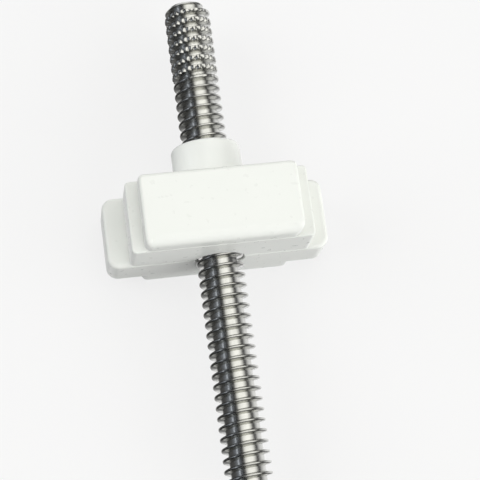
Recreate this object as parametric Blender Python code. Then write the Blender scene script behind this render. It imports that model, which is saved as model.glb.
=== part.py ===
"""Lead-screw drive: a worm gearbox in a three-layer moulded case, riding on a deep-threaded lead screw.

The screw lies along +Y with its serrated fixing end at +Y. The case lies on its rear pad, so +Z points out of
its front face. The origin is the middle of the rear pad's face, straight below the screw's axis.
"""

import math

import bmesh
import bpy
from mathutils import Matrix, Vector

MM = 0.001

# Case: three layers stacked along Z, all the same height along Y.
HALF_HEIGHT = 6.95 * MM
PAD_HALF, MOUNT_HALF, HOUSING_HALF, COVER_HALF = 14.5 * MM, 21.4 * MM, 17.25 * MM, 14.9 * MM
PAD_FACE, MOUNT_REAR, MOUNT_FRONT = 0.0, 2.75 * MM, 11.8 * MM
HOUSING_FRONT, COVER_FRONT = 21.5 * MM, 25.6 * MM
SEAM = 0.2 * MM
CORNER = 1.2 * MM
RIM = 1.0 * MM

# Lead screw: 9 mm nominal, 2 mm pitch, one start, right hand, with narrow ridges and wide grooves.
AXIS_Z = 10.5 * MM
PITCH = 2.0 * MM
MAJOR_R, MINOR_R = 4.55 * MM, 3.33 * MM
CREST_WIDTH, FLANK_WIDTH = 0.56 * MM, 0.15 * MM
CREST_AT = 1.474 * MM  # where the crest crosses the +X side, above the origin
SCREW_BOTTOM, SCREW_TOP = -54.4 * MM, 45.1 * MM
SCREW_CHAMFER = 1.2 * MM
TURN_STEPS = 12

# Drive nut: collar, flange and worm wheel in one piece.
THREAD_PLAY_R, THREAD_PLAY_Y = 0.2 * MM, 0.12 * MM
COLLAR_R, COLLAR_TOP = 6.8 * MM, 15.65 * MM
NUT_BOTTOM, HUB_R = -4.1 * MM, 6.0 * MM
FLANGE_R, FLANGE_LOW, FLANGE_HIGH = 7.25 * MM, 2.9 * MM, 3.6 * MM
NECK_R = 5.6 * MM

# Worm gearing: module 0.5, two starts on twenty-four teeth.
MODULE = 0.5 * MM
STARTS, TEETH = 2, 24
WHEEL_PITCH_R = MODULE * TEETH / 2
WHEEL_FACE = 2.3 * MM
WORM_PITCH_R = 2.2 * MM
WORM_Z = AXIS_Z + WHEEL_PITCH_R + WORM_PITCH_R
WORM_THREAD = 4.0 * MM
WHEEL_TOOTH, WORM_TOOTH = 0.62 * MM, 0.56 * MM  # thickness at the pitch line
PRESSURE = math.tan(math.radians(20))
ROOT_DEPTH = 1.25 * MODULE
JOURNAL_R = 2.2 * MM
DRIVE_SQUARE, DRIVE_DEPTH = 2.5 * MM, 6.0 * MM
SHAFT_LEFT, SHAFT_RIGHT = -8.2 * MM, 14.3 * MM

# Rooms in the case.
CHAMBER_R, CHAMBER_LOW, CHAMBER_HIGH = 7.7 * MM, -5.3 * MM, 6.3 * MM
TOP_HOLE_R, BOTTOM_HOLE_R = 7.0 * MM, 5.05 * MM
CHANNEL_R, CHANNEL_END = 3.2 * MM, 10.9 * MM
JOURNAL_HOLE_R, JOURNAL_HOLE_END = 2.45 * MM, 14.8 * MM
DRIVE_HOLE_R = 2.0 * MM
POCKET_TOP = 22.8 * MM

# Rings: (inner radius, outer radius, low end, high end).
UPPER_BUSH = (6.86 * MM, 7.4 * MM, 4.5 * MM, 5.95 * MM)
LOWER_BUSH = (6.06 * MM, 7.4 * MM, -4.1 * MM, -2.6 * MM)
UPPER_WASHER = (6.92 * MM, 7.35 * MM, 3.8 * MM, 4.3 * MM)
LOWER_WASHER = (5.3 * MM, 7.3 * MM, -5.0 * MM, -4.4 * MM)
WORM_BUSH = (2.26 * MM, 3.0 * MM, 5.6 * MM, 8.0 * MM)
WORM_WASHER = (2.3 * MM, 2.95 * MM, 4.8 * MM, 5.3 * MM)
SHAFT_SEAL = (2.26 * MM, 3.0 * MM, 8.3 * MM, 10.6 * MM)
PLUG_R, PLUG_LOW, PLUG_HIGH = 3.0 * MM, -10.6 * MM, -8.5 * MM

# Fasteners.
SCREW_X, SCREW_Y = 12.4 * MM, 4.6 * MM
SHANK_R, SHANK_HOLE_R, SHANK_END = 0.85 * MM, 1.05 * MM, 23.4 * MM
HEAD_R, HEAD_LOW, HEAD_HIGH = 1.55 * MM, 0.5 * MM, 1.8 * MM
HEAD_HOLE_R, HEAD_HOLE_END = 1.75 * MM, 2.1 * MM
DOWEL_X, DOWEL_R, DOWEL_HOLE_R = 15.4 * MM, 0.75 * MM, 0.9 * MM
DOWEL_LOW, DOWEL_HIGH = 8.9 * MM, 14.5 * MM

ROUND = 36
SMALL_ROUND = 20
AXES = {"X": (0, math.pi / 2, 0), "Y": (-math.pi / 2, 0, 0), "Z": (0, 0, 0)}


def material(name, colour, roughness, metallic=0.0):
    """One plain finish."""
    made = bpy.data.materials.new(name)
    made.use_nodes = True
    shader = made.node_tree.nodes["Principled BSDF"]
    shader.inputs["Base Color"].default_value = (*colour, 1)
    shader.inputs["Roughness"].default_value = roughness
    shader.inputs["Metallic"].default_value = metallic
    return made


def make_object(name, bm, finish=None, axis="Z", place=(0, 0, 0)):
    """A bmesh as an object whose local Z runs along the world axis named."""
    bmesh.ops.recalc_face_normals(bm, faces=bm.faces)
    mesh = bpy.data.meshes.new(name)
    bm.to_mesh(mesh)
    bm.free()
    mesh.shade_smooth()
    mesh.set_sharp_from_angle(angle=math.radians(35))
    made = bpy.data.objects.new(name, mesh)
    bpy.context.scene.collection.objects.link(made)
    made.rotation_euler = AXES[axis]
    made.location = place
    if finish:
        mesh.materials.append(finish)
    return made


def turned(profile, steps=ROUND):
    """A solid of revolution round Z from a closed outline of (radius, height) points."""
    bm = bmesh.new()
    rings = []
    for radius, height in profile:
        if radius == 0:
            rings.append([bm.verts.new((0, 0, height))])
            continue
        angles = [2 * math.pi * i / steps for i in range(steps)]
        rings.append([bm.verts.new((radius * math.cos(a), radius * math.sin(a), height)) for a in angles])
    for low, high in zip(rings, rings[1:] + rings[:1]):
        for i in range(steps):
            k = (i + 1) % steps
            corners = [low[i % len(low)], low[k % len(low)], high[k % len(high)], high[i % len(high)]]
            corners = list(dict.fromkeys(corners))
            if len(corners) > 2:
                bm.faces.new(corners)
    return bm


def rod(radius, low, high, steps=ROUND):
    return turned([(0, low), (radius, low), (radius, high), (0, high)], steps)


def ring(inner, outer, low, high, steps=ROUND):
    return turned([(inner, low), (outer, low), (outer, high), (inner, high)], steps)


def box(x, y, z):
    """A box from three (low, high) pairs."""
    bm = bmesh.new()
    bmesh.ops.create_cube(bm, size=1)
    size = Matrix.Diagonal((x[1] - x[0], y[1] - y[0], z[1] - z[0], 1))
    middle = Vector(((x[0] + x[1]) / 2, (y[0] + y[1]) / 2, (z[0] + z[1]) / 2))
    bmesh.ops.transform(bm, matrix=Matrix.Translation(middle) @ size, verts=bm.verts)
    return bm


def bevel_where(bm, wanted, width, segments):
    edges = [e for e in bm.edges if wanted(*[v.co for v in e.verts])]
    bmesh.ops.bevel(bm, geom=edges, offset=width, segments=segments, profile=0.5, affect="EDGES")


def rounded_layer(half, low, high, corner=CORNER, rim=RIM):
    """A case layer: rounded upright corners, and a rounded rim round its front face."""
    bm = box((-half, half), (-HALF_HEIGHT, HALF_HEIGHT), (low, high))
    bevel_where(bm, lambda a, b: abs(a.z - b.z) > MM / 10, corner, 3)
    bevel_where(bm, lambda a, b: min(a.z, b.z) > high - MM / 100, rim, 3)
    return bm


def threaded(outer, inner, crest, flank, pitch, starts, crest_at, low, high, steps=TURN_STEPS):
    """A right-hand threaded rod that runs at least from low to high, with rough ends that are trimmed later."""
    lead = pitch * starts
    outline = [(inner, -pitch / 2), (inner, -crest / 2 - flank), (outer, -crest / 2)]
    outline += [(outer, crest / 2), (inner, crest / 2 + flank)]
    first = math.floor((low - crest_at) / lead) - 1
    last = math.ceil((high - crest_at) / lead) + 1
    count = (last - first) * steps
    bm = bmesh.new()
    rows = []
    for i in range(count + 1):
        angle = 2 * math.pi * i / steps
        lift = crest_at + lead * (first + i / steps)
        row = []
        for start in range(starts):
            for radius, along in outline:
                spot = (radius * math.cos(angle), radius * math.sin(angle), lift + start * pitch + along)
                row.append(bm.verts.new(spot))
        rows.append(row)
    for i in range(count - steps):
        for j in range(len(rows[0])):
            wraps = j + 1 == len(rows[0])
            far = [rows[i + steps][0], rows[i + steps + 1][0]] if wraps else [rows[i][j + 1], rows[i + 1][j + 1]]
            bm.faces.new([rows[i][j], rows[i + 1][j], far[1], far[0]])
    for edge_row, way in ((0, -1), (count - steps, 1)):
        lip = [rows[edge_row + i][0] for i in range(steps + 1)]
        lip += list(reversed(rows[edge_row][1:]))
        tip = bm.verts.new((0, 0, lip[0].co.z + way * lead + (lead if way > 0 else 0)))
        for a, b in zip(lip, lip[1:] + lip[:1]):
            bm.faces.new([a, b, tip])
    loose = [v for v in bm.verts if not v.link_faces]
    bmesh.ops.delete(bm, geom=loose, context="VERTS")
    return bm


def hidden(name, bm, axis="Z", place=(0, 0, 0)):
    """A cutter: it shapes other pieces and isn't a piece itself."""
    made = make_object(name, bm, axis=axis, place=place)
    made.hide_render = True
    made.display_type = "WIRE"
    return made


def shape(target, tool, operation="DIFFERENCE"):
    modifier = target.modifiers.new(tool.name, "BOOLEAN")
    modifier.operation = operation
    modifier.object = tool
    return modifier


def wheel_blank():
    """The worm wheel: straight-sided teeth that lean with the worm's lead angle."""
    tip_r, root_r = WHEEL_PITCH_R + MODULE, WHEEL_PITCH_R - ROOT_DEPTH
    tip_half = (WHEEL_TOOTH / 2 - MODULE * PRESSURE) / tip_r
    root_half = (WHEEL_TOOTH / 2 + ROOT_DEPTH * PRESSURE) / root_r
    lean = STARTS * MODULE / (2 * WORM_PITCH_R) / WHEEL_PITCH_R
    step = 2 * math.pi / TEETH
    first = -math.pi / 2 + step / 2
    bm = bmesh.new()
    rows = []
    for level in range(-2, 3):
        height = WHEEL_FACE * level / 2
        row = []
        for tooth in range(TEETH):
            middle = first + step * tooth + lean * height
            corners = ((root_r, -root_half), (tip_r, -tip_half), (tip_r, tip_half), (root_r, root_half))
            for radius, turn in corners:
                angle = middle + turn
                row.append(bm.verts.new((radius * math.cos(angle), radius * math.sin(angle), height)))
        rows.append(row)
    for low, high in zip(rows, rows[1:]):
        for i in range(len(low)):
            k = (i + 1) % len(low)
            bm.faces.new([low[i], low[k], high[k], high[i]])
    bm.faces.new(rows[0])
    bm.faces.new(rows[-1])
    return bm


def make_lead_screw(finish):
    on_axis = dict(axis="Y", place=(0, 0, AXIS_Z))
    bm = threaded(
        MAJOR_R, MINOR_R, CREST_WIDTH, FLANK_WIDTH, PITCH, 1, CREST_AT, SCREW_BOTTOM, SCREW_TOP
    )
    screw = make_object("lead_screw", bm, finish, **on_axis)
    wide = MAJOR_R + MM
    narrow = MAJOR_R - SCREW_CHAMFER
    trim = [(0, SCREW_BOTTOM), (narrow, SCREW_BOTTOM), (wide, SCREW_BOTTOM + SCREW_CHAMFER + MM)]
    trim += [(wide, SCREW_TOP - SCREW_CHAMFER - MM), (narrow, SCREW_TOP), (0, SCREW_TOP)]
    shape(screw, hidden("screw_trim", turned(trim, 32), **on_axis), "INTERSECT")


def make_drive_nut(finish):
    on_axis = dict(axis="Y", place=(0, 0, AXIS_Z))
    edge = 0.9 * MM
    outline = [
        (0, NUT_BOTTOM),
        (HUB_R, NUT_BOTTOM),
        (HUB_R, -WHEEL_FACE + MM / 10),
        (NECK_R - MM / 2, -WHEEL_FACE + MM / 10),
        (NECK_R - MM / 2, WHEEL_FACE - MM / 10),
        (NECK_R, WHEEL_FACE - MM / 10),
        (NECK_R, FLANGE_LOW),
        (FLANGE_R, FLANGE_LOW),
        (FLANGE_R, FLANGE_HIGH),
        (COLLAR_R, FLANGE_HIGH),
        (COLLAR_R, COLLAR_TOP - edge),
        (COLLAR_R - edge * 0.3, COLLAR_TOP - edge * 0.3),
        (COLLAR_R - edge, COLLAR_TOP),
        (0, COLLAR_TOP),
    ]
    nut = make_object("drive_nut", turned(outline), finish, **on_axis)
    shape(nut, hidden("wheel_blank", wheel_blank(), **on_axis), "UNION")
    crest = CREST_WIDTH + 2 * THREAD_PLAY_Y
    tap = threaded(
        MAJOR_R + THREAD_PLAY_R, MINOR_R + THREAD_PLAY_R, crest, FLANK_WIDTH, PITCH, 1, CREST_AT, NUT_BOTTOM, COLLAR_TOP
    )
    shape(nut, hidden("nut_tap", tap, **on_axis))


def make_worm_shaft(finish):
    on_axis = dict(axis="X", place=(0, 0, WORM_Z))
    tip_r, root_r = WORM_PITCH_R + MODULE, WORM_PITCH_R - ROOT_DEPTH
    crest = WORM_TOOTH - 2 * MODULE * PRESSURE
    flank = (MODULE + ROOT_DEPTH) * PRESSURE
    pitch = math.pi * MODULE
    shoulder, shoulder_r, core_r = 4.55 * MM, 2.6 * MM, root_r - MM / 10
    edge = 0.3 * MM
    outline = [
        (0, SHAFT_LEFT),
        (JOURNAL_R - edge, SHAFT_LEFT),
        (JOURNAL_R, SHAFT_LEFT + edge),
        (JOURNAL_R, -shoulder),
        (shoulder_r, -shoulder),
        (shoulder_r, -WORM_THREAD + MM / 10),
        (core_r, -WORM_THREAD + MM / 10),
        (core_r, WORM_THREAD - MM / 10),
        (shoulder_r, WORM_THREAD - MM / 10),
        (shoulder_r, shoulder),
        (JOURNAL_R, shoulder),
        (JOURNAL_R, SHAFT_RIGHT),
        (0, SHAFT_RIGHT),
    ]
    shaft = make_object("worm_shaft", turned(outline, SMALL_ROUND), finish, **on_axis)
    thread = threaded(tip_r, root_r, crest, flank, pitch, STARTS, 0, -WORM_THREAD, WORM_THREAD)
    worm = hidden("worm_thread", thread, **on_axis)
    shape(worm, hidden("worm_trim", rod(tip_r + MM, -WORM_THREAD, WORM_THREAD), **on_axis), "INTERSECT")
    shape(shaft, worm, "UNION")
    half = DRIVE_SQUARE / 2
    reach = (SHAFT_RIGHT - DRIVE_DEPTH, SHAFT_RIGHT + MM)
    shape(shaft, hidden("drive_square", box((-half, half), (-half, half), reach), **on_axis))


def fastener_spots():
    return [(x, y) for x in (-SCREW_X, SCREW_X) for y in (-SCREW_Y, SCREW_Y)]


def case_cutters():
    """Every room that the case layers share, as cutters."""
    out = MM
    y_axis = dict(axis="Y", place=(0, 0, AXIS_Z))
    x_axis = dict(axis="X", place=(0, 0, WORM_Z))
    chamber = [
        (0, -HALF_HEIGHT - out),
        (BOTTOM_HOLE_R, -HALF_HEIGHT - out),
        (BOTTOM_HOLE_R, CHAMBER_LOW),
        (CHAMBER_R, CHAMBER_LOW),
        (CHAMBER_R, CHAMBER_HIGH),
        (TOP_HOLE_R, CHAMBER_HIGH),
        (TOP_HOLE_R, HALF_HEIGHT + out),
        (0, HALF_HEIGHT + out),
    ]
    channel = [
        (0, -CHANNEL_END),
        (CHANNEL_R, -CHANNEL_END),
        (CHANNEL_R, CHANNEL_END),
        (JOURNAL_HOLE_R, CHANNEL_END),
        (JOURNAL_HOLE_R, JOURNAL_HOLE_END),
        (DRIVE_HOLE_R, JOURNAL_HOLE_END),
        (DRIVE_HOLE_R, HOUSING_HALF + out),
        (0, HOUSING_HALF + out),
    ]
    wide = (-CHANNEL_R, CHANNEL_R)
    long = (-CHANNEL_END, CHANNEL_END)
    cutters = {
        "chamber": hidden("chamber_room", turned(chamber), **y_axis),
        "channel": hidden("channel_room", turned(channel, 32), **x_axis),
        "way_in": hidden("worm_way_in", box(long, wide, (WORM_Z, HOUSING_FRONT + out))),
        "pocket": hidden("cover_pocket", box(long, wide, (MOUNT_FRONT, POCKET_TOP))),
    }
    holes = []
    for number, (x, y) in enumerate(fastener_spots(), 1):
        outline = [
            (0, PAD_FACE - out),
            (HEAD_HOLE_R, PAD_FACE - out),
            (HEAD_HOLE_R, HEAD_HOLE_END),
            (SHANK_HOLE_R, HEAD_HOLE_END),
            (SHANK_HOLE_R, SHANK_END + SEAM),
            (0, SHANK_END + SEAM),
        ]
        holes.append(hidden(f"screw_hole_{number}", turned(outline, SMALL_ROUND), place=(x, y, 0)))
    pins = []
    for side, x in (("left", -DOWEL_X), ("right", DOWEL_X)):
        bm = rod(DOWEL_HOLE_R, DOWEL_LOW - SEAM, DOWEL_HIGH + SEAM, SMALL_ROUND)
        pins.append(hidden(f"dowel_hole_{side}", bm, place=(x, 0, 0)))
    return cutters, holes, pins


def make_case(finish):
    cutters, holes, pins = case_cutters()
    cover = make_object("front_cover", rounded_layer(COVER_HALF, HOUSING_FRONT + SEAM / 2, COVER_FRONT), finish)
    housing_ends = (MOUNT_FRONT + SEAM / 2, HOUSING_FRONT - SEAM / 2)
    housing = make_object("centre_housing", rounded_layer(HOUSING_HALF, *housing_ends, rim=0.5 * MM), finish)
    mount_ends = (MOUNT_REAR, MOUNT_FRONT - SEAM / 2)
    mount = make_object("rear_mount", rounded_layer(MOUNT_HALF, *mount_ends, corner=2.2 * MM), finish)
    pad = box((-PAD_HALF, PAD_HALF), (-HALF_HEIGHT, HALF_HEIGHT), (PAD_FACE, MOUNT_REAR + MM))
    bevel_where(pad, lambda a, b: abs(a.z - b.z) > MM / 10, CORNER, 3)
    shape(mount, hidden("pad_block", pad), "UNION")
    for room in ("chamber", "channel", "way_in"):
        shape(housing, cutters[room])
    shape(mount, cutters["chamber"])
    shape(cover, cutters["pocket"])
    for layer in (cover, housing, mount):
        for hole in holes:
            shape(layer, hole)
    for layer in (housing, mount):
        for pin in pins:
            shape(layer, pin)


def make_rings(steel, bronze, rubber):
    on_screw = dict(axis="Y", place=(0, 0, AXIS_Z))
    on_worm = dict(axis="X", place=(0, 0, WORM_Z))
    make_object("upper_nut_bush", ring(*UPPER_BUSH), bronze, **on_screw)
    make_object("lower_nut_bush", ring(*LOWER_BUSH), bronze, **on_screw)
    make_object("upper_thrust_washer", ring(*UPPER_WASHER), steel, **on_screw)
    make_object("lower_thrust_washer", ring(*LOWER_WASHER), steel, **on_screw)
    for side, way in (("left", -1), ("right", 1)):
        for kind, size, finish in (("bush", WORM_BUSH, bronze), ("washer", WORM_WASHER, steel)):
            inner, outer, near, far = size
            ends = sorted((way * near, way * far))
            make_object(f"worm_{kind}_{side}", ring(inner, outer, *ends, SMALL_ROUND), finish, **on_worm)
    make_object("shaft_seal", ring(*SHAFT_SEAL, SMALL_ROUND), rubber, **on_worm)
    recess = 0.8 * MM
    plug = [(0, PLUG_LOW + recess), (recess, PLUG_LOW + recess), (recess, PLUG_LOW), (PLUG_R, PLUG_LOW)]
    plug += [(PLUG_R, PLUG_HIGH), (0, PLUG_HIGH)]
    make_object("worm_end_plug", turned(plug, SMALL_ROUND), steel, **on_worm)


def make_fasteners(steel):
    socket_r, socket_depth, edge = 0.75 * MM, 0.7 * MM, 0.2 * MM
    screw = [
        (0, HEAD_LOW + socket_depth),
        (socket_r, HEAD_LOW + socket_depth),
        (socket_r, HEAD_LOW),
        (HEAD_R - edge, HEAD_LOW),
        (HEAD_R, HEAD_LOW + edge),
        (HEAD_R, HEAD_HIGH),
        (SHANK_R, HEAD_HIGH),
        (SHANK_R, SHANK_END - 2 * edge),
        (SHANK_R - edge, SHANK_END),
        (0, SHANK_END),
    ]
    for number, (x, y) in enumerate(fastener_spots(), 1):
        make_object(f"case_screw_{number}", turned(screw, 12), steel, place=(x, y, 0))
    pin = [(0, DOWEL_LOW), (DOWEL_R - edge, DOWEL_LOW), (DOWEL_R, DOWEL_LOW + edge)]
    pin += [(DOWEL_R, DOWEL_HIGH - edge), (DOWEL_R - edge, DOWEL_HIGH), (0, DOWEL_HIGH)]
    for side, x in (("left", -DOWEL_X), ("right", DOWEL_X)):
        make_object(f"dowel_{side}", turned(pin, 12), steel, place=(x, 0, 0))


def main():
    for old in list(bpy.data.objects):
        bpy.data.objects.remove(old)
    case = material("case_plastic", (0.86, 0.87, 0.85), 0.3)
    acetal = material("nut_plastic", (0.88, 0.89, 0.88), 0.35)
    screw_steel = material("screw_steel", (0.42, 0.40, 0.38), 0.25, 1.0)
    steel = material("steel", (0.55, 0.55, 0.56), 0.3, 1.0)
    bronze = material("bronze", (0.60, 0.42, 0.20), 0.4, 1.0)
    rubber = material("rubber", (0.03, 0.03, 0.03), 0.7)
    make_lead_screw(screw_steel)
    make_drive_nut(acetal)
    make_worm_shaft(steel)
    make_case(case)
    make_rings(steel, bronze, rubber)
    make_fasteners(steel)


main()
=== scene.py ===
"""Looks for the lead-screw drive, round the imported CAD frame: meshes, finishes, floor, light and camera.

The screw lies along +Y. The case lies on its rear pad, with +Z out of its front face. Lengths are in metres.
"""

import math

import bmesh
import bpy
from mathutils import Matrix, Vector


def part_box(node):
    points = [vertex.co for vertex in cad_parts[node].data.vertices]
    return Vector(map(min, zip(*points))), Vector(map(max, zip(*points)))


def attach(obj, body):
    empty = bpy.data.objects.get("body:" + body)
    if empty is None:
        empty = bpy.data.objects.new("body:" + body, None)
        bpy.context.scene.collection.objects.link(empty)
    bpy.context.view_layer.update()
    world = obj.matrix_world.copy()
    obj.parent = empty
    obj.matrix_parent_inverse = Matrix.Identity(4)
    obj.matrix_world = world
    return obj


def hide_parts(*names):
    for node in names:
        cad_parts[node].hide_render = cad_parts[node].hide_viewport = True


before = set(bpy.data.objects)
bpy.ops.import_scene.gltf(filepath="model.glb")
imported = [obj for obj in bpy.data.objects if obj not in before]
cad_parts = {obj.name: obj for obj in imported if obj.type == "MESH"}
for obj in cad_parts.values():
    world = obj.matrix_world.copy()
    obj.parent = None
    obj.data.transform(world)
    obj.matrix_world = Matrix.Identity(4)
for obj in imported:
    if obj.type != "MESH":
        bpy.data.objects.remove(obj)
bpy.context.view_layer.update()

MM = 0.001

# Places and sizes that the frame gives.
SCREW_LOW, SCREW_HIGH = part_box("lead_screw")
COVER_LOW, COVER_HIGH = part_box("front_cover")
HOUSING_LOW, HOUSING_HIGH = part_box("centre_housing")
MOUNT_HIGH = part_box("rear_mount")[1]
NUT_LOW, NUT_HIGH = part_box("drive_nut")
WORM_LOW, WORM_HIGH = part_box("worm_shaft")
AXIS_Z = (SCREW_LOW.z + SCREW_HIGH.z) / 2
WORM_Z = (WORM_LOW.z + WORM_HIGH.z) / 2
HALF_HEIGHT = COVER_HIGH.y

# Lead screw thread.
PITCH = 2.0 * MM
MAJOR_R = (SCREW_HIGH.x - SCREW_LOW.x) / 2
MINOR_R = 3.33 * MM
RIDGE_TIP, RIDGE_BASE = 0.56 * MM, 0.86 * MM
TIP_ROUND, ROOT_ROUND = 0.24 * MM, 0.1 * MM
LEAST_FLAT = 0.02 * MM
CREST_AT = 1.474 * MM
SCREW_CHAMFER = 1.2 * MM
THREAD_STEPS = 120
SPARE_TURNS = 2

# Notches across the crests near the screw's fixing end, up to a plain length at the end itself. The ridges
# grow wider there by CREST_GROWTH on each side.
NOTCHES_A_TURN, NOTCHES_FROM = 24, 28.6 * MM
NOTCH_DEPTH, NOTCH_SHARE = 0.42 * MM, 0.85
NOTCH_MEAN, NOTCH_LEAN = 0.7, 0.3
CREST_GROWTH = 0.18 * MM
CREST_FLAT = RIDGE_TIP / 2 - TIP_ROUND
PLAIN_END = 1.6 * MM

# Case layers.
PAD_HALF, PAD_TOP = 14.5 * MM, 2.75 * MM

# Rooms in the case.
CHAMBER_R, CHAMBER_LOW, CHAMBER_HIGH = 7.7 * MM, -5.3 * MM, 6.3 * MM
TOP_HOLE_R, BOTTOM_HOLE_R = 7.0 * MM, 4.75 * MM
CHANNEL_R, CHANNEL_END = 3.2 * MM, 10.9 * MM
JOURNAL_HOLE_R, JOURNAL_HOLE_END = 2.45 * MM, 14.8 * MM
DRIVE_HOLE_R = 2.0 * MM
POCKET_TOP = 22.8 * MM
FASTENER_X, FASTENER_Y = 12.4 * MM, 4.6 * MM
SHANK_HOLE_R, SHANK_HOLE_END = 1.05 * MM, 23.6 * MM
HEAD_HOLE_R, HEAD_HOLE_END = 1.75 * MM, 2.1 * MM

# Drive nut.
COLLAR_R = 6.8 * MM
HUB_R, LOWER_NECK_R, UPPER_NECK_R = 6.0 * MM, 5.1 * MM, 5.6 * MM
FLANGE_R, FLANGE_LOW, FLANGE_HIGH = 7.25 * MM, 2.9 * MM, 3.6 * MM
WHEEL_TIP_R, WHEEL_ROOT_R, WHEEL_FACE, TEETH = 6.5 * MM, 5.375 * MM, 2.3 * MM, 24
TOOTH_TIP_TURN, TOOTH_ROOT_TURN = 0.02, 0.075
WHEEL_LEVELS = 8
MODULE, WORM_STARTS, WORM_PITCH_R = 0.5 * MM, 2, 2.2 * MM
WHEEL_PITCH_R = MODULE * TEETH / 2

# The tool that cuts the nut's thread, larger than the screw by TAP_ROOM all round.
TAP_TIP, TAP_BASE, TAP_ROUND, TAP_ROOM = 0.9 * MM, 1.3 * MM, 0.1 * MM, 0.2 * MM
TAP_STEPS = 72

# Studio light round the screw's axis: (degrees from straight up towards +X, level, tint).
NEUTRAL, COOL, WARM = (1, 1, 1), (0.88, 0.94, 1.04), (1, 0.995, 0.95)
AROUND = [
    (-180, 0.85, NEUTRAL),
    (-166, 0.75, NEUTRAL),
    (-154, 0.25, NEUTRAL),
    (-142, 0.06, NEUTRAL),
    (-100, 0.07, NEUTRAL),
    (-80, 0.15, COOL),
    (-68, 0.2, COOL),
    (-65, 0.7, COOL),
    (-61, 0.7, COOL),
    (-57, 0.05, COOL),
    (-48, 0.13, COOL),
    (-36, 0.02, NEUTRAL),
    (-24, 0.12, NEUTRAL),
    (-14, 0.75, WARM),
    (2, 1.05, WARM),
    (34, 1.1, WARM),
    (50, 0.65, WARM),
    (58, 0.25, WARM),
    (66, 0.07, NEUTRAL),
    (76, 0.1, NEUTRAL),
    (90, 0.45, NEUTRAL),
    (110, 0.75, NEUTRAL),
    (180, 0.85, NEUTRAL),
]
# The share of that light by height along the screw's axis, from -1 at -Y to 1 at +Y.
ALONG = [
    (-1, 0.2),
    (-0.5, 0.12),
    (-0.3, 0.3),
    (-0.1, 1),
    (0.52, 1),
    (0.66, 0.2),
    (0.76, 0.2),
    (0.84, 0.9),
    (1, 1),
]
WORLD_STRENGTH = 1.1
# Fill suns: (name, where it stands, strength, spread in degrees).
FILL = [
    ("fill_left", (-0.8, 0.1, 0.6), 1.6, 50),
    ("fill_right", (0.9, -0.2, 0.3), 1.3, 60),
    ("fill_low", (0.45, -0.88, 0.1), 2.7, 80),
    ("fill_top", (0.1, 0.9, 0.4), 0.5, 90),
]

# The floor lies just under the rear pad, so that the two faces don't coincide.
FLOOR_SIZE, FLOOR_DROP = 6, 0.05 * MM

# Camera, at the photograph's angle.
CAMERA_PLACE = (-0.0382, -0.0837, 0.3146)
CAMERA_FORWARD, CAMERA_UP = (0.1342, 0.2526, -0.9582), (0.1011, 0.9584, 0.2668)
CAMERA_LENS, CAMERA_SENSOR = 123.75, 36

# Steps round a turned shape.
ROUND, ROUND_MEDIUM, ROUND_SMALL = 96, 64, 32
# Where most of a noise texture's values lie.
NOISE_LOW, NOISE_HIGH = 0.3, 0.7
AXES = {"X": (0, math.pi / 2, 0), "Y": (-math.pi / 2, 0, 0), "Z": (0, 0, 0)}


def make_object(name, bm, axis="Z", place=(0, 0, 0)):
    """A bmesh as an object whose local Z runs along the world axis named."""
    bmesh.ops.recalc_face_normals(bm, faces=bm.faces)
    mesh = bpy.data.meshes.new(name)
    bm.to_mesh(mesh)
    bm.free()
    made = bpy.data.objects.new(name, mesh)
    bpy.context.scene.collection.objects.link(made)
    made.rotation_euler = AXES[axis]
    made.location = place
    return made


def turned(profile, steps=ROUND):
    """A solid of revolution round Z. Its outline of (radius, height) points starts and ends on the axis."""
    bm = bmesh.new()
    rings = []
    for radius, height in profile:
        count = steps if radius else 1
        angles = [2 * math.pi * i / count for i in range(count)]
        rings.append([bm.verts.new((radius * math.cos(a), radius * math.sin(a), height)) for a in angles])
    for low, high in zip(rings, rings[1:]):
        for i in range(steps):
            k = (i + 1) % steps
            corners = [low[i % len(low)], low[k % len(low)], high[k % len(high)], high[i % len(high)]]
            bm.faces.new(list(dict.fromkeys(corners)))
    return bm


def arc(centre, radius, start, end, steps):
    """Points on an arc in (radius, height) space, angles in degrees."""
    points = []
    for i in range(steps + 1):
        a = math.radians(start + (end - start) * i / steps)
        points.append((centre[0] + radius * math.cos(a), centre[1] + radius * math.sin(a)))
    return points


def box(x, y, z):
    """A box from three (low, high) pairs."""
    bm = bmesh.new()
    bmesh.ops.create_cube(bm, size=1)
    size = Matrix.Diagonal((x[1] - x[0], y[1] - y[0], z[1] - z[0], 1))
    middle = Vector(((x[0] + x[1]) / 2, (y[0] + y[1]) / 2, (z[0] + z[1]) / 2))
    bmesh.ops.transform(bm, matrix=Matrix.Translation(middle) @ size, verts=bm.verts)
    return bm


def ridge_profile(tip, base, tip_round, root_round, major, minor):
    """Half of one thread ridge, as (distance from its middle, radius), from its crest to the groove floor."""
    lean = math.degrees(math.atan2((base - tip) / 2, major - minor))
    flat = max(tip / 2 - tip_round, LEAST_FLAT)
    points = [(0, major)]
    points += arc((flat, major - tip_round), tip_round, 90, lean, steps=4)
    points += arc((base / 2 + root_round, minor + root_round), root_round, 180 + lean, 270, steps=1)
    return points


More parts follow.
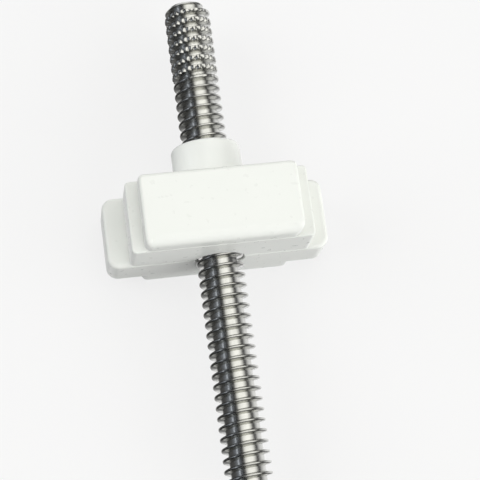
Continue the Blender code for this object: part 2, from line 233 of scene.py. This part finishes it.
def thread(half, pitch, crest_at, low, high, steps, reshape=None):
    """A right-hand threaded rod, cut square at both ends.

    half is what ridge_profile gives. reshape may move a point: it gets the point's angle, distance from the
    middle of the ridge, height and radius, and gives its new height and radius.
    """
    outline = [(-along, radius) for along, radius in reversed(half[1:])] + half
    outline = [(-pitch / 2, half[-1][1])] + outline
    first = math.floor((low - crest_at) / pitch) - SPARE_TURNS
    last = math.ceil((high - crest_at) / pitch) + SPARE_TURNS
    count = (last - first) * steps
    bm = bmesh.new()
    rows = []
    for i in range(count + 1):
        angle = 2 * math.pi * i / steps
        lift = crest_at + pitch * (first + i / steps)
        row = []
        for along, radius in outline:
            height = lift + along
            if reshape:
                height, radius = reshape(angle, along, height, radius)
            row.append(bm.verts.new((radius * math.cos(angle), radius * math.sin(angle), height)))
        rows.append(row)
    for i in range(count - steps):
        here, beside = rows[i], rows[i + 1]
        for j in range(len(outline) - 1):
            bm.faces.new((here[j], beside[j], beside[j + 1], here[j + 1]))
        bm.faces.new((here[-1], beside[-1], rows[i + steps + 1][0], rows[i + steps][0]))
    bmesh.ops.delete(bm, geom=[v for v in bm.verts if not v.link_faces], context="VERTS")
    for height, way in ((low, -1), (high, 1)):
        parts = list(bm.verts) + list(bm.edges) + list(bm.faces)
        middle, outward = (0, 0, height), (0, 0, way)
        bmesh.ops.bisect_plane(bm, geom=parts, plane_co=middle, plane_no=outward, clear_outer=True)
        open_edges = [e for e in bm.edges if e.is_boundary]
        rim = [e for e in open_edges if all(abs(v.co.z - height) < MM / 1000 for v in e.verts)]
        bmesh.ops.edgeloop_fill(bm, edges=rim)
    return bm


def rounded_outline(half_width, half_height, corners, steps=10):
    """Points round a rectangle, each with its outward way. corners: radii at -X-Y, +X-Y, +X+Y and -X+Y."""
    points = []
    for number, radius in enumerate(corners):
        side_x = -1 if number in (0, 3) else 1
        side_y = -1 if number in (0, 1) else 1
        centre = Vector((side_x * (half_width - radius), side_y * (half_height - radius)))
        for i in range(steps + 1):
            a = math.pi + (number + i / steps) * math.pi / 2
            out = Vector((math.cos(a), math.sin(a)))
            points.append((centre + radius * out, out))
    return points


def layer(half_width, low, high, corners, rims, back=0.15 * MM, steps=8, back_steps=2):
    """A moulded case layer. rims: the front edge's rounding at -Y, +Y and the sides. back: the rear's."""
    outline = rounded_outline(half_width, HALF_HEIGHT, corners)
    lower, upper, side = rims
    bm = bmesh.new()
    rings = []
    for i in range(back_steps + 1):
        turn = i / back_steps * math.pi / 2
        inward, height = 1 - math.sin(turn), low + back * (1 - math.cos(turn))
        rings.append([(p - w * back * inward, height) for p, w in outline])
    for i in range(steps + 1):
        turn = i / steps * math.pi / 2
        ring = []
        for p, w in outline:
            down, up = max(0, -w.y) ** 2, max(0, w.y) ** 2
            rim = lower * down + upper * up + side * w.x**2
            ring.append((p - w * rim * (1 - math.cos(turn)), high - rim * (1 - math.sin(turn))))
        rings.append(ring)
    rows = [[bm.verts.new((p.x, p.y, z)) for p, z in ring] for ring in rings]
    for below, above in zip(rows, rows[1:]):
        for i in range(len(below)):
            k = (i + 1) % len(below)
            bm.faces.new((below[i], below[k], above[k], above[i]))
    bm.faces.new(rows[0])
    bm.faces.new(rows[-1])
    return bm


def combine(target, tools):
    """Applies Boolean operations, given as (operation, tool object) pairs, to the mesh itself. The tools
    stay.
    """
    for operation, tool in tools:
        modifier = target.modifiers.new(tool.name, "BOOLEAN")
        modifier.operation = operation
        modifier.object = tool
    bpy.context.view_layer.update()
    depsgraph = bpy.context.evaluated_depsgraph_get()
    made = bpy.data.meshes.new_from_object(target.evaluated_get(depsgraph))
    target.modifiers.clear()
    target.data = made


def finish_piece(piece, material, body, nodes, angle=32):
    """Smooth shading with sharp edges kept, the finish, and the place in the frame.

    Of these pieces, the metal mirrors only those on the screw.
    """
    piece.data.materials.clear()
    piece.data.materials.append(material)
    piece.data.shade_smooth()
    piece.data.set_sharp_from_angle(angle=math.radians(angle))
    weighted = piece.modifiers.new("even_shading", "WEIGHTED_NORMAL")
    weighted.keep_sharp = True
    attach(piece, body)
    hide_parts(*nodes)
    piece.visible_glossy = body == "screw"


class Finish:
    """A Principled material with helpers for the patterns that vary over its surface."""

    def __init__(self, name, colour, roughness, metallic=0.0):
        self.material = bpy.data.materials.new(name)
        self.material.use_nodes = True
        self.nodes = self.material.node_tree.nodes
        self.links = self.material.node_tree.links
        self.shader = self.nodes["Principled BSDF"]
        self.set("Base Color", (*colour, 1))
        self.set("Roughness", roughness)
        self.set("Metallic", metallic)
        self.place = self.nodes.new("ShaderNodeTexCoord").outputs["Object"]

    def set(self, socket, value):
        self.shader.inputs[socket].default_value = value

    def noise(self, scale, detail=3.0, stretch=(1, 1, 1)):
        mapping = self.nodes.new("ShaderNodeMapping")
        mapping.inputs["Scale"].default_value = stretch
        texture = self.nodes.new("ShaderNodeTexNoise")
        texture.inputs["Scale"].default_value = scale
        texture.inputs["Detail"].default_value = detail
        self.links.new(self.place, mapping.inputs["Vector"])
        self.links.new(mapping.outputs["Vector"], texture.inputs["Vector"])
        return texture.outputs["Fac"]

    def blend_colours(self, factor, first, second):
        ramp = self.nodes.new("ShaderNodeValToRGB")
        ramp.color_ramp.elements[0].position = NOISE_LOW
        ramp.color_ramp.elements[0].color = (*first, 1)
        ramp.color_ramp.elements[1].position = NOISE_HIGH
        ramp.color_ramp.elements[1].color = (*second, 1)
        self.links.new(factor, ramp.inputs["Fac"])
        self.links.new(ramp.outputs["Color"], self.shader.inputs["Base Color"])

    def vary_roughness(self, factor, low, high):
        span = self.nodes.new("ShaderNodeMapRange")
        span.inputs["From Min"].default_value = NOISE_LOW
        span.inputs["From Max"].default_value = NOISE_HIGH
        span.inputs["To Min"].default_value = low
        span.inputs["To Max"].default_value = high
        self.links.new(factor, span.inputs["Value"])
        self.links.new(span.outputs["Result"], self.shader.inputs["Roughness"])

    def bumps(self, factor, strength, depth):
        bump = self.nodes.new("ShaderNodeBump")
        bump.inputs["Strength"].default_value = strength
        bump.inputs["Distance"].default_value = depth
        self.links.new(factor, bump.inputs["Height"])
        self.links.new(bump.outputs["Normal"], self.shader.inputs["Normal"])


def case_plastic():
    """Off-white moulded plastic with a satin gloss and a fine spark-eroded grain."""
    made = Finish("case_plastic", (0.83, 0.845, 0.81), 0.3)
    made.blend_colours(made.noise(90, 4), (0.825, 0.843, 0.806), (0.838, 0.855, 0.818))
    made.vary_roughness(made.noise(700, 3), 0.27, 0.31)
    made.bumps(made.noise(1400, 2), 0.03, 0.003 * MM)
    made.set("IOR", 1.5)
    return made.material


def nut_plastic():
    """White acetal, turned: faint rings round the screw's axis."""
    made = Finish("nut_plastic", (0.82, 0.84, 0.81), 0.28)
    made.blend_colours(made.noise(140, 3), (0.89, 0.908, 0.878), (0.90, 0.918, 0.888))
    made.vary_roughness(made.noise(400, 2, (1, 1, 14)), 0.12, 0.18)
    made.bumps(made.noise(300, 2, (1, 1, 20)), 0.04, 0.004 * MM)
    made.set("IOR", 1.48)
    return made.material


def screw_steel():
    """Bright rolled steel: a burnished surface with drawn lines round the thread."""
    made = Finish("screw_steel", (0.75, 0.75, 0.72), 0.16, 1.0)
    made.blend_colours(made.noise(600, 4), (0.69, 0.69, 0.665), (0.81, 0.81, 0.78))
    made.vary_roughness(made.noise(1500, 3, (0.4, 0.4, 3)), 0.14, 0.26)
    made.bumps(made.noise(1800, 3, (0.3, 0.3, 2.5)), 0.4, 0.02 * MM)
    return made.material


def plain_steel():
    """Zinc-bright hardware steel."""
    made = Finish("hardware_steel", (0.55, 0.55, 0.56), 0.3, 1.0)
    made.blend_colours(made.noise(800, 3), (0.50, 0.50, 0.51), (0.60, 0.60, 0.61))
    made.vary_roughness(made.noise(1200, 3), 0.22, 0.38)
    made.bumps(made.noise(2500, 2), 0.1, 0.01 * MM)
    return made.material


def sintered_bronze():
    """Oil-filled bearing bronze: a dull gold with open pores."""
    made = Finish("bearing_bronze", (0.60, 0.42, 0.20), 0.45, 1.0)
    made.blend_colours(made.noise(1500, 5), (0.48, 0.33, 0.16), (0.66, 0.47, 0.24))
    made.vary_roughness(made.noise(1800, 4), 0.36, 0.58)
    made.bumps(made.noise(3500, 4), 0.35, 0.02 * MM)
    return made.material


def seal_rubber():
    """Black nitrile rubber."""
    made = Finish("seal_rubber", (0.03, 0.03, 0.03), 0.65)
    made.blend_colours(made.noise(900, 3), (0.022, 0.022, 0.022), (0.04, 0.04, 0.04))
    made.vary_roughness(made.noise(1300, 3), 0.55, 0.75)
    made.bumps(made.noise(2500, 3), 0.2, 0.02 * MM)
    return made.material


def screw_end_shape(angle, along, height, radius):
    """Chamfers the screw's ends, and notches the crests near its fixing end, deeper on their -Y side."""
    past_start = (height - NOTCHES_FROM) / PITCH
    before_end = (SCREW_HIGH.y - PLAIN_END - height) / MM
    notched = min(1, max(0, past_start), max(0, before_end))
    if notched:
        step = angle / (2 * math.pi) * NOTCHES_A_TURN
        notch = max(0, 1 - 2 * abs(step - round(step)) / NOTCH_SHARE)
        side = min(1, max(-1, along / CREST_FLAT))
        if along > -PITCH / 2:
            height += notched * CREST_GROWTH * side
        depth = notched * NOTCH_DEPTH * notch * (NOTCH_MEAN - NOTCH_LEAN * side)
        radius = min(radius, MAJOR_R - depth)
    narrow = MAJOR_R - SCREW_CHAMFER
    radius = min(radius, narrow + max(0, SCREW_HIGH.y - height), narrow + max(0, height - SCREW_LOW.y))
    return height, radius


def make_screw(material):
    half = ridge_profile(RIDGE_TIP, RIDGE_BASE, TIP_ROUND, ROOT_ROUND, MAJOR_R, MINOR_R)
    bm = thread(half, PITCH, CREST_AT, SCREW_LOW.y, SCREW_HIGH.y, THREAD_STEPS, screw_end_shape)
    rod = make_object("screw_rod", bm, "Y", (0, 0, AXIS_Z))
    finish_piece(rod, material, "screw", ["lead_screw"], angle=40)


def wheel_blank():
    """The worm wheel's teeth, which lean with the worm's lead."""
    lean = WORM_STARTS * MODULE / (2 * WORM_PITCH_R) / WHEEL_PITCH_R
    step = 2 * math.pi / TEETH
    corners = [
        (WHEEL_ROOT_R, -TOOTH_ROOT_TURN),
        (WHEEL_TIP_R, -TOOTH_TIP_TURN),
        (WHEEL_TIP_R, TOOTH_TIP_TURN),
        (WHEEL_ROOT_R, TOOTH_ROOT_TURN),
    ]
    bm = bmesh.new()
    rows = []
    for level in range(WHEEL_LEVELS + 1):
        height = WHEEL_FACE * (2 * level / WHEEL_LEVELS - 1)
        row = []
        for tooth in range(TEETH):
            middle = -math.pi / 2 + step * (tooth + 0.5) + lean * height
            for radius, turn in corners:
                angle = middle + turn
                row.append(bm.verts.new((radius * math.cos(angle), radius * math.sin(angle), height)))
        rows.append(row)
    for low, high in zip(rows, rows[1:]):
        for i in range(len(low)):
            k = (i + 1) % len(low)
            bm.faces.new((low[i], low[k], high[k], high[i]))
    bm.faces.new(rows[0])
    bm.faces.new(rows[-1])
    return bm


def make_nut(material):
    on_axis = dict(axis="Y", place=(0, 0, AXIS_Z))
    low, high = NUT_LOW.y, NUT_HIGH.y
    lip = 0.9 * MM
    edge = 0.25 * MM
    inside_wheel = WHEEL_FACE - 0.1 * MM
    outline = [(0, low), (HUB_R - edge, low)]
    outline += arc((HUB_R - edge, low + edge), edge, -90, 0, steps=3)
    outline += [(HUB_R, -inside_wheel), (LOWER_NECK_R, -inside_wheel)]
    outline += [(LOWER_NECK_R, inside_wheel), (UPPER_NECK_R, inside_wheel), (UPPER_NECK_R, FLANGE_LOW)]
    outline += [(FLANGE_R, FLANGE_LOW), (FLANGE_R, FLANGE_HIGH), (COLLAR_R, FLANGE_HIGH)]
    outline += arc((COLLAR_R - lip, high - lip), lip, 0, 90, steps=8)
    outline += [(0, high)]
    nut = make_object("nut_body", turned(outline), **on_axis)
    wheel = make_object("wheel_tool", wheel_blank(), **on_axis)
    half = ridge_profile(TAP_TIP, TAP_BASE, TAP_ROUND, TAP_ROUND, MAJOR_R + TAP_ROOM, MINOR_R + TAP_ROOM)
    bm = thread(half, PITCH, CREST_AT, low - PITCH, high + PITCH, TAP_STEPS)
    tap = make_object("tap_tool", bm, **on_axis)
    combine(nut, [("UNION", wheel), ("DIFFERENCE", tap)])
    for tool in (wheel, tap):
        bpy.data.objects.remove(tool)
    finish_piece(nut, material, "nut", ["drive_nut"])


def case_rooms():
    """Every room in the case, as tool objects. Where one opens to the outside, it runs on by out."""
    out = MM
    y_axis = dict(axis="Y", place=(0, 0, AXIS_Z))
    x_axis = dict(axis="X", place=(0, 0, WORM_Z))
    edge = 0.25 * MM
    chamber = [
        (0, -HALF_HEIGHT - out),
        (BOTTOM_HOLE_R + edge + out, -HALF_HEIGHT - out),
        (BOTTOM_HOLE_R, -HALF_HEIGHT + edge),
        (BOTTOM_HOLE_R, CHAMBER_LOW),
        (CHAMBER_R, CHAMBER_LOW),
        (CHAMBER_R, CHAMBER_HIGH),
        (TOP_HOLE_R, CHAMBER_HIGH),
        (TOP_HOLE_R, HALF_HEIGHT + out),
        (0, HALF_HEIGHT + out),
    ]
    channel = [
        (0, -CHANNEL_END),
        (CHANNEL_R, -CHANNEL_END),
        (CHANNEL_R, CHANNEL_END),
        (JOURNAL_HOLE_R, CHANNEL_END),
        (JOURNAL_HOLE_R, JOURNAL_HOLE_END),
        (DRIVE_HOLE_R, JOURNAL_HOLE_END),
        (DRIVE_HOLE_R, HOUSING_HIGH.x - edge),
        (DRIVE_HOLE_R + edge + out, HOUSING_HIGH.x + out),
        (0, HOUSING_HIGH.x + out),
    ]
    wide, long = (-CHANNEL_R, CHANNEL_R), (-CHANNEL_END, CHANNEL_END)
    rooms = {
        "chamber": make_object("chamber_tool", turned(chamber), **y_axis),
        "channel": make_object("channel_tool", turned(channel, ROUND_MEDIUM), **x_axis),
        "way_in": make_object("way_in_tool", box(long, wide, (WORM_Z, HOUSING_HIGH.z + out))),
        "pocket": make_object("pocket_tool", box(long, wide, (COVER_LOW.z - out, POCKET_TOP))),
    }
    hole = [
        (0, -out),
        (HEAD_HOLE_R + edge + out, -out),
        (HEAD_HOLE_R, edge),
        (HEAD_HOLE_R, HEAD_HOLE_END),
        (SHANK_HOLE_R, HEAD_HOLE_END),
        (SHANK_HOLE_R, SHANK_HOLE_END),
        (0, SHANK_HOLE_END),
    ]
    spots = [(x, y) for x in (-FASTENER_X, FASTENER_X) for y in (-FASTENER_Y, FASTENER_Y)]
    for number, (x, y) in enumerate(spots, 1):
        tool = make_object(f"hole_tool_{number}", turned(hole, ROUND_SMALL), place=(x, y, 0))
        rooms[f"hole_{number}"] = tool
    return rooms


def make_case(material):
    rooms = case_rooms()
    holes = [rooms[name] for name in rooms if name.startswith("hole")]
    cover = make_object(
        "cover_body",
        layer(
            COVER_HIGH.x,
            COVER_LOW.z,
            COVER_HIGH.z,
            corners=(1.4 * MM, 2.2 * MM, 1.2 * MM, 1.0 * MM),
            rims=(2.1 * MM, 0.8 * MM, 0.7 * MM),
        ),
    )
    housing = make_object(
        "housing_body",
        layer(
            HOUSING_HIGH.x,
            HOUSING_LOW.z,
            HOUSING_HIGH.z,
            corners=(0.9 * MM,) * 4,
            rims=(0.35 * MM, 0.35 * MM, 0.35 * MM),
        ),
    )
    mount = make_object(
        "mount_body",
        layer(
            MOUNT_HIGH.x,
            PAD_TOP,
            MOUNT_HIGH.z,
            corners=(2.2 * MM, 2.4 * MM, 2.0 * MM, 2.2 * MM),
            rims=(0.9 * MM, 0.8 * MM, 0.8 * MM),
            back=0.8 * MM,
        ),
    )
    pad = make_object(
        "pad_tool",
        layer(
            PAD_HALF,
            0,
            PAD_TOP + MM,
            corners=(1.2 * MM,) * 4,
            rims=(0.1 * MM, 0.1 * MM, 0.1 * MM),
            back=0.3 * MM,
        ),
    )
    cuts = [("DIFFERENCE", tool) for tool in holes]
    combine(cover, [("DIFFERENCE", rooms["pocket"])] + cuts)
    inner = [("DIFFERENCE", rooms[name]) for name in ("chamber", "channel", "way_in")]
    combine(housing, inner + cuts)
    combine(mount, [("UNION", pad), ("DIFFERENCE", rooms["chamber"])] + cuts)
    for tool in [pad, *rooms.values()]:
        bpy.data.objects.remove(tool)
    finish_piece(cover, material, "gearbox", ["front_cover"])
    finish_piece(housing, material, "gearbox", ["centre_housing"])
    finish_piece(mount, material, "gearbox", ["rear_mount"])


def finish_cad_nodes(finishes):
    """The CAD nodes that stay shown: bearings, washers, worm, plug, seal, screws and dowels."""
    for name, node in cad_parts.items():
        if node.hide_render:
            continue
        kind = "steel"
        if "bush" in name:
            kind = "bronze"
        if "seal" in name:
            kind = "rubber"
        node.data.materials.clear()
        node.data.materials.append(finishes[kind])


def make_floor():
    """A plain pale floor with its own glow. It neither lights the object nor is mirrored in the metal."""
    bm = bmesh.new()
    bmesh.ops.create_grid(bm, x_segments=1, y_segments=1, size=FLOOR_SIZE)
    floor = make_object("floor", bm, place=(0, 0, -FLOOR_DROP))
    material = bpy.data.materials.new("floor_white")
    material.use_nodes = True
    shader = material.node_tree.nodes["Principled BSDF"]
    shader.inputs["Base Color"].default_value = (0.2, 0.2, 0.2, 1)
    shader.inputs["Roughness"].default_value = 0.9
    shader.inputs["Specular IOR Level"].default_value = 0.0
    shader.inputs["Emission Color"].default_value = (1, 1, 1, 1)
    shader.inputs["Emission Strength"].default_value = 0.72
    floor.data.materials.append(material)
    floor.visible_glossy = False
    floor.visible_diffuse = False


def math_node(nodes, links, operation, *values):
    """A Math node fed by sockets or numbers."""
    node = nodes.new("ShaderNodeMath")
    node.operation = operation
    for socket, value in zip(node.inputs, values):
        if isinstance(value, bpy.types.NodeSocket):
            links.new(value, socket)
        else:
            socket.default_value = value
    return node.outputs[0]


def make_world():
    """Soft studio light: a wide panel above and to +X, a dim -X side with one thin strip, a panel at +Y.

    Its level by direction is set to give the metal the reflections that the photograph shows.
    """
    world = bpy.data.worlds.new("studio")
    bpy.context.scene.world = world
    world.use_nodes = True
    nodes, links = world.node_tree.nodes, world.node_tree.links
    split = nodes.new("ShaderNodeSeparateXYZ")
    links.new(nodes.new("ShaderNodeTexCoord").outputs["Generated"], split.inputs["Vector"])
    lean = math_node(nodes, links, "ARCTAN2", split.outputs["X"], split.outputs["Z"])
    share = math_node(nodes, links, "MULTIPLY_ADD", lean, 1 / (2 * math.pi), 0.5)
    ramp = nodes.new("ShaderNodeValToRGB")
    links.new(share, ramp.inputs["Fac"])
    elements = ramp.color_ramp.elements
    while len(elements) < len(AROUND):
        elements.new(0.5)
    for element, (degrees, level, tint) in zip(elements, AROUND):
        element.position = (degrees + 180) / 360
        element.color = (*[level * c for c in tint], 1)
    along = nodes.new("ShaderNodeValToRGB")
    links.new(math_node(nodes, links, "MULTIPLY_ADD", split.outputs["Y"], 0.5, 0.5), along.inputs["Fac"])
    elements = along.color_ramp.elements
    while len(elements) < len(ALONG):
        elements.new(0.5)
    for element, (height, level) in zip(elements, ALONG):
        element.position = (height + 1) / 2
        element.color = (level, level, level, 1)
    lit = nodes.new("ShaderNodeMix")
    lit.data_type = "RGBA"
    lit.blend_type = "MULTIPLY"
    lit.inputs["Factor"].default_value = 1
    links.new(ramp.outputs["Color"], lit.inputs["A"])
    links.new(along.outputs["Color"], lit.inputs["B"])
    background = nodes["Background"]
    background.inputs["Strength"].default_value = WORLD_STRENGTH
    links.new(lit.outputs["Result"], background.inputs["Color"])


def make_fill():
    """Soft suns that even out the case's light. The metal doesn't mirror them."""
    for name, way, strength, spread in FILL:
        data = bpy.data.lights.new(name, "SUN")
        data.energy = strength
        data.angle = math.radians(spread)
        light = bpy.data.objects.new(name, data)
        light.rotation_euler = Vector(way).to_track_quat("Z", "Y").to_euler()
        light.visible_glossy = False
        bpy.context.scene.collection.objects.link(light)


def make_camera():
    """Looks down on the front face from below its middle and a little to the left."""
    data = bpy.data.cameras.new("camera")
    data.lens = CAMERA_LENS
    data.sensor_width = CAMERA_SENSOR
    data.clip_start, data.clip_end = 0.01, 20
    camera = bpy.data.objects.new("camera", data)
    bpy.context.scene.collection.objects.link(camera)
    forward = Vector(CAMERA_FORWARD).normalized()
    up = Vector(CAMERA_UP)
    right = forward.cross(up).normalized()
    up = right.cross(forward)
    turn = Matrix((right, up, -forward)).transposed().to_4x4()
    camera.matrix_world = Matrix.Translation(CAMERA_PLACE) @ turn
    bpy.context.scene.camera = camera


def main():
    bpy.context.scene.view_settings.view_transform = "Standard"
    make_camera()
    make_floor()
    make_world()
    make_fill()
    make_screw(screw_steel())
    make_nut(nut_plastic())
    make_case(case_plastic())
    finish_cad_nodes({"steel": plain_steel(), "bronze": sintered_bronze(), "rubber": seal_rubber()})


main()
